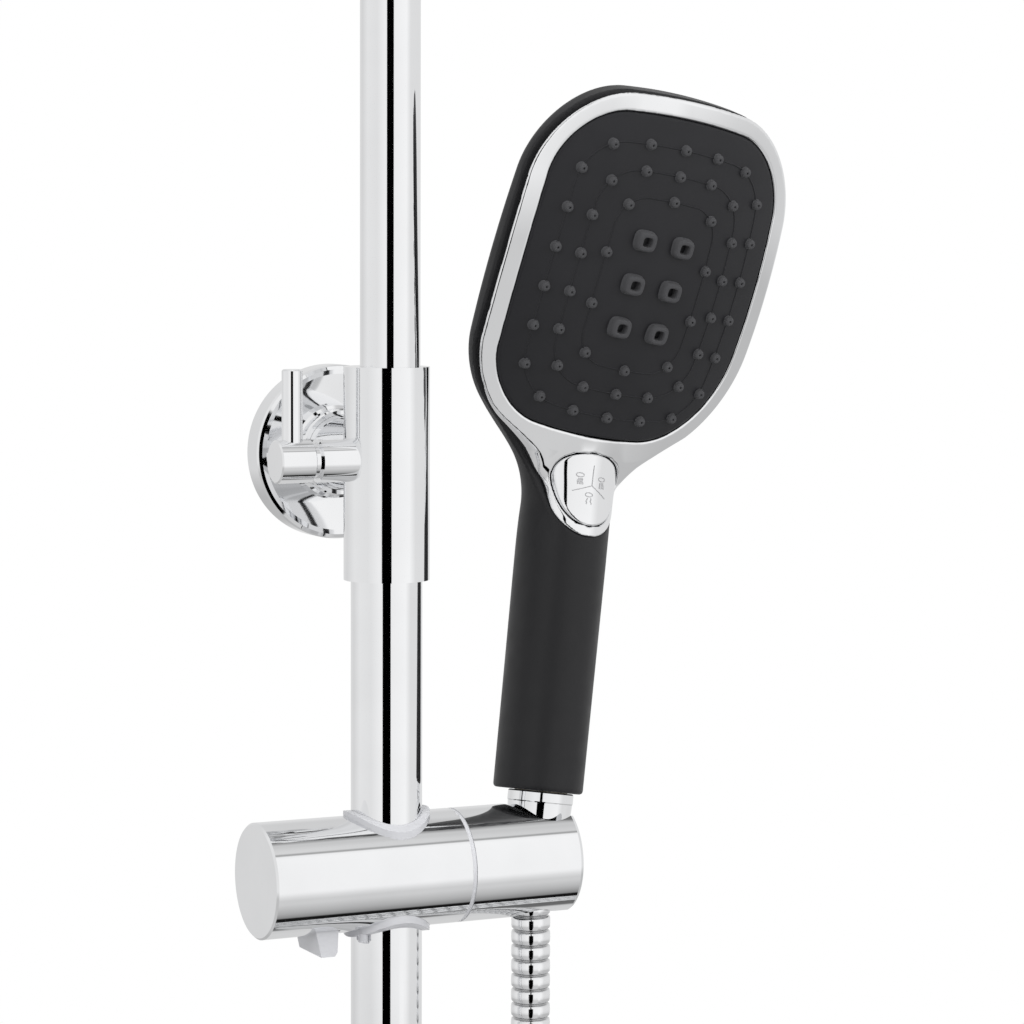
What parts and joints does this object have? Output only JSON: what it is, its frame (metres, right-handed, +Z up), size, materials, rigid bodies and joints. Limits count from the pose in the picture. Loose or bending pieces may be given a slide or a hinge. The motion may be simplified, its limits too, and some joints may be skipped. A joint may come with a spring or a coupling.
{
  "type": "shower set with hand shower",
  "caption": "Chrome riser column with wall inlet, diverter lever and a sliding, tilting holder that carries a square black-faced hand shower on a metal hose.",
  "frame": {"origin": "centre of the threaded wall inlet, in the plane of the wall", "axes": "+Z up along the column, +Y into the wall, +X to the right of someone who faces the wall"},
  "size_m": [0.2522, 0.1132, 0.6858],
  "materials": {
    "chrome": "polished chrome plating",
    "hose_steel": "polished wound steel strip",
    "rubber": "moulded",
    "steel": "turned, bright",
    "brass": "turned",
    "pale_plastic": "moulded, slightly milky",
    "black_plastic": "soft-touch, very fine grain",
    "face_plastic": "satin",
    "nozzle_rubber": "satin silicone"
  },
  "bodies": {
    "column": {"wall_rosette": "chrome", "rosette_seal": "rubber", "tee_body": "chrome", "inlet_washer": "rubber", "riser_tube": "chrome", "riser_seal": "rubber", "column_tube": "chrome", "column_seal": "rubber", "tube_screws": "steel", "diverter_cartridge": "chrome", "spindle_seal": "rubber", "hose_outlet": "chrome", "outlet_ring": "rubber"},
    "diverter_lever": {"lever_knob": "chrome", "lever_pin": "chrome", "lever_screw": "steel", "diverter_spindle": "chrome"},
    "slider": {"slider_body": "chrome", "slider_end_cap": "chrome", "slider_bush": "pale_plastic", "friction_washer": "pale_plastic", "pivot_bolt": "steel", "wave_washer": "steel", "shoe_spring": "steel"},
    "release": {"release_tab": "pale_plastic", "clamp_shoe": "pale_plastic"},
    "holder": {"holder": "chrome"},
    "hose_end": {"hose_ferrule": "chrome"},
    "hose": {"hose_drop": "hose_steel", "hose_coil": "hose_steel", "hose_tie": "black_plastic", "end_ferrule": "chrome"},
    "end_nut": {"end_nut": "chrome", "end_washer": "rubber"},
    "handset": {"cone_nut": "chrome", "nut_gasket": "rubber", "handset_inlet": "brass", "water_tube": "pale_plastic", "handset_shell": "black_plastic", "handset_bezel": "chrome", "spray_chamber": "black_plastic", "face_plate": "face_plastic", "spray_nozzles": "nozzle_rubber", "jet_nozzles": "nozzle_rubber"},
    "mode_button": {"mode_button": "chrome"}
  },
  "joints": [
    {"name": "lever_turn", "type": "hinge", "parent": "column", "child": "diverter_lever", "pos_m": [0, -0.0525, 0], "axis": [1, 0, 0], "range_deg": [0, 180]},
    {"name": "slider_slide", "type": "slide", "parent": "column", "child": "slider", "axis": [0, 0, 1], "range_m": [-0.06, 0.075]},
    {"name": "release_slide", "type": "slide", "parent": "slider", "child": "release", "axis": [-1, 0, 0], "range_m": [0, 0.0015], "stiffness_N_per_m": 1500, "springref_m": -0.003, "deforming": ["shoe_spring"]},
    {"name": "holder_tilt", "type": "hinge", "parent": "slider", "child": "holder", "pos_m": [0, -0.0525, -0.1448], "axis": [1, 0, 0], "range_deg": [-2, 40]},
    {"name": "hose_lift", "type": "slide", "parent": "holder", "child": "hose_end", "axis": [0.1538, 0.1017, 0.9828], "range_m": [0, 0.045]},
    {"name": "handset_swivel", "type": "hinge", "parent": "hose_end", "child": "handset", "pos_m": [0.058, -0.0525, -0.1448], "axis": [0.1538, 0.1017, 0.9828], "range_deg": [-30, 30]},
    {"name": "button_press", "type": "slide", "parent": "handset", "child": "mode_button", "axis": [-0.1153, 0.9897, -0.0844], "range_m": [0, 0.0012], "stiffness_N_per_m": 800, "springref_m": -0.0015},
    {"name": "hose_hang", "type": "hinge", "parent": "hose_end", "child": "hose", "pos_m": [0.05592, -0.05387, -0.15957], "axis": [1, 0, 0], "range_deg": [-45, 10], "deforming": ["hose_drop"]},
    {"name": "end_nut_spin", "type": "hinge", "parent": "hose", "child": "end_nut", "pos_m": [0.05592, -0.10067, -0.462], "axis": [0, 0, 1], "continuous": true}
  ],
  "couplings": [
    {"joint": "hose_hang", "follows": "holder_tilt", "ratio": -1}
  ]
}
